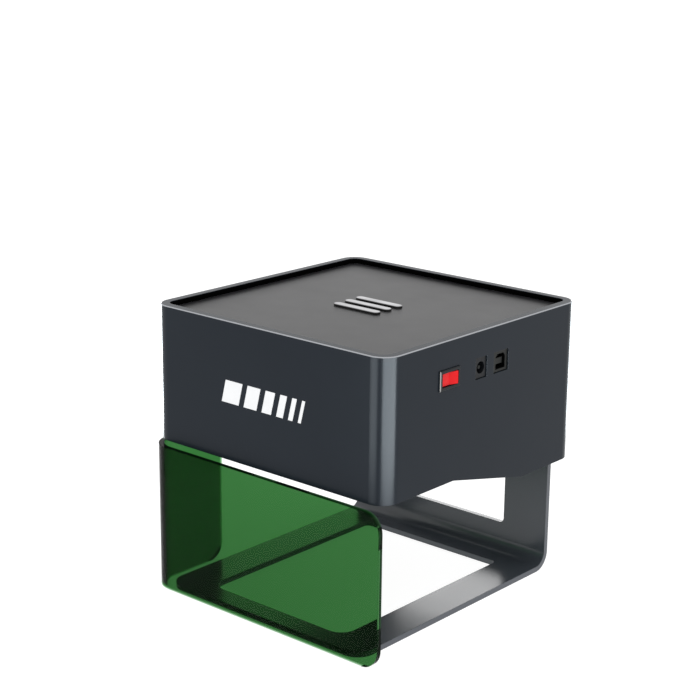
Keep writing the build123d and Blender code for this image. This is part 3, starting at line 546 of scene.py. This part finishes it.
# ---- camera, floor and lights ----
def add_camera():
    base, width = housing_base()
    data = bpy.data.cameras.new("camera")
    data.lens = LENS
    data.sensor_width = SENSOR
    data.shift_x = SHIFT_X
    data.shift_y = SHIFT_Y
    camera = bpy.data.objects.new("camera", data)
    bpy.context.scene.collection.objects.link(camera)
    turn = Matrix.Rotation(math.radians(CAMERA_AZIMUTH), 4, "Z")
    tip = Matrix.Rotation(math.radians(90 - CAMERA_ELEVATION), 4, "X")
    roll = Matrix.Rotation(math.radians(CAMERA_ROLL), 4, "Z")
    place = Matrix.Translation(base + Vector(CAMERA_AT) * width)
    camera.matrix_world = place @ turn @ tip @ roll
    bpy.context.scene.camera = camera


def add_floor():
    mesh = bpy.data.meshes.new("floor")
    signs = ((-1, -1), (1, -1), (1, 1), (-1, 1))
    corners = [(x * FLOOR_HALF, y * FLOOR_HALF, 0) for x, y in signs]
    mesh.from_pydata(corners, [], [(0, 1, 2, 3)])
    floor = bpy.data.objects.new("floor", mesh)
    bpy.context.scene.collection.objects.link(floor)
    tree = Tree("floor_paint")
    tree.set(IOR=1.1, Emission_Strength=FLOOR_GLOW)
    tree.shader.inputs["Emission Color"].default_value = (1, 1, 1, 1)
    tree.colour(tree.blend(tree.noise(2), (0.24, 0.24, 0.24), (0.26, 0.26, 0.26)))
    tree.roughness(tree.spread(tree.noise(5), 0.9, 1.0))
    mesh.materials.append(tree.material)


def add_light(name, at, target, width, height, watts):
    data = bpy.data.lights.new(name, "AREA")
    data.shape = "RECTANGLE"
    data.size, data.size_y = width, height
    data.energy = watts
    light = bpy.data.objects.new(name, data)
    bpy.context.scene.collection.objects.link(light)
    light.location = at
    light.rotation_euler = (Vector(target) - Vector(at)).to_track_quat("-Z", "Y").to_euler()
    light.visible_camera = False
    return light


def add_world():
    world = bpy.data.worlds.new("studio")
    world.use_nodes = True
    background = world.node_tree.nodes["Background"]
    background.inputs["Color"].default_value = (1, 1, 1, 1)
    background.inputs["Strength"].default_value = WORLD_STRENGTH
    bpy.context.scene.world = world


def receivers(node):
    """The one piece that a light shines on."""
    collection = bpy.data.collections.new("lit_" + node)
    collection.objects.link(NODES[node])
    return collection


def add_strip(name, shown, middle, start, end, radiance):
    """A tall soft strip by a corner of the housing, seen only as a reflection in it.
    Angles run from straight ahead towards the right."""
    ends = [middle + STRIP_DISTANCE * Vector((math.sin(a), -math.cos(a), 0))
            for a in map(math.radians, (start, end))]
    at = (ends[0] + ends[1]) / 2 + Vector((0, 0, STRIP_HEIGHT / 2 + STRIP_LIFT))
    width = (ends[1] - ends[0]).length
    target = middle + Vector((0, 0, at.z))
    light = add_light(name, at, target, width, STRIP_HEIGHT, radiance * math.pi * width * STRIP_HEIGHT)
    light.data.color = STRIP_TINT
    light.visible_diffuse = False
    light.visible_transmission = False
    light.light_linking.receiver_collection = shown


def add_lights():
    base, width = housing_base()
    middle = base + Vector((0, 0, TARGET_HEIGHT * width))
    add_light("top", base + Vector((0, 0, TOP_HEIGHT)), middle, TOP_SIZE, TOP_SIZE, TOP_WATTS)
    to_corner = Vector((width / 2 - CORNER, -width / 2 + CORNER, 0))
    shown = receivers("housing_shell")
    for name, side, start, end, radiance in STRIPS:
        add_strip(name, shown, base + side * to_corner, start, end, radiance)
    across, tall = BACK_SIZE
    behind = base + Vector(BACK_PLACE) * width
    watts = BACK_RADIANCE * math.pi * across * tall * width * width
    panel = add_light("back_panel", behind, middle, across * width, tall * width, watts)
    panel.visible_diffuse = False
    panel.light_linking.receiver_collection = receivers("stand")


def main():
    add_camera()
    made = materials()
    dress_nodes(made)
    add_recess_seal(made)
    add_board_parts(made)
    add_lead_screw("x_lead_screw", "x_screw", 0, made)
    add_lead_screw("y_lead_screw", "y_screw", 1, made)
    add_floor()
    add_world()
    add_lights()
    bpy.context.scene.view_settings.view_transform = "Standard"


main()
